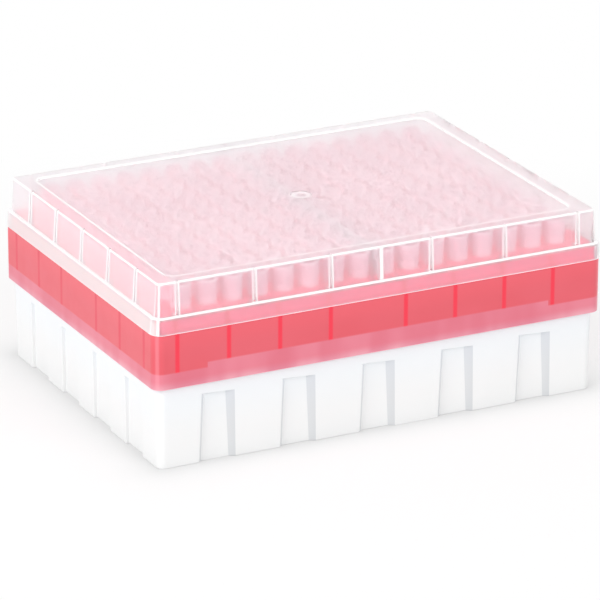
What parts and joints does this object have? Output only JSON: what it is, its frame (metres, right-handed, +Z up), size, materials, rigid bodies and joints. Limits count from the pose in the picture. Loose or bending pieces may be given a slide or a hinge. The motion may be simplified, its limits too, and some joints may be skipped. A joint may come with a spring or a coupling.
{
  "type": "box of pipette tips",
  "caption": "Low rectangular rack box with a white base, translucent red skirted tray, clear fluted lift-off lid and rows of pipette tips.",
  "frame": {"origin": "middle of the foot's outline, on the surface the box stands on", "axes": "+X along the long side to the right, -Y out of the front long wall, +Z up"},
  "size_m": [0.1618, 0.1176, 0.0627],
  "materials": {
    "white_pp": "satin moulded polypropylene",
    "red_tray": "translucent moulded polypropylene",
    "clear_lid": "clear, slightly milky moulded polypropylene",
    "tip_pp": "natural translucent polypropylene"
  },
  "bodies": {
    "box": {"base": "white_pp", "tray": "red_tray", "tips_col_01": "tip_pp", "tips_col_02": "tip_pp", "tips_col_03": "tip_pp", "tips_col_04": "tip_pp", "tips_col_05": "tip_pp", "tips_col_06": "tip_pp", "tips_col_07": "tip_pp", "tips_col_08": "tip_pp", "tips_col_09": "tip_pp", "tips_col_10": "tip_pp", "tips_col_11": "tip_pp", "tips_col_12": "tip_pp", "tips_col_13": "tip_pp", "tips_col_14": "tip_pp", "tips_col_15": "tip_pp", "tips_col_16": "tip_pp"},
    "lid": {"lid": "clear_lid"}
  },
  "joints": [
    {"name": "lid_lift", "type": "slide", "parent": "box", "child": "lid", "axis": [0, 0, 1], "range_m": [0, 0.04]}
  ]
}
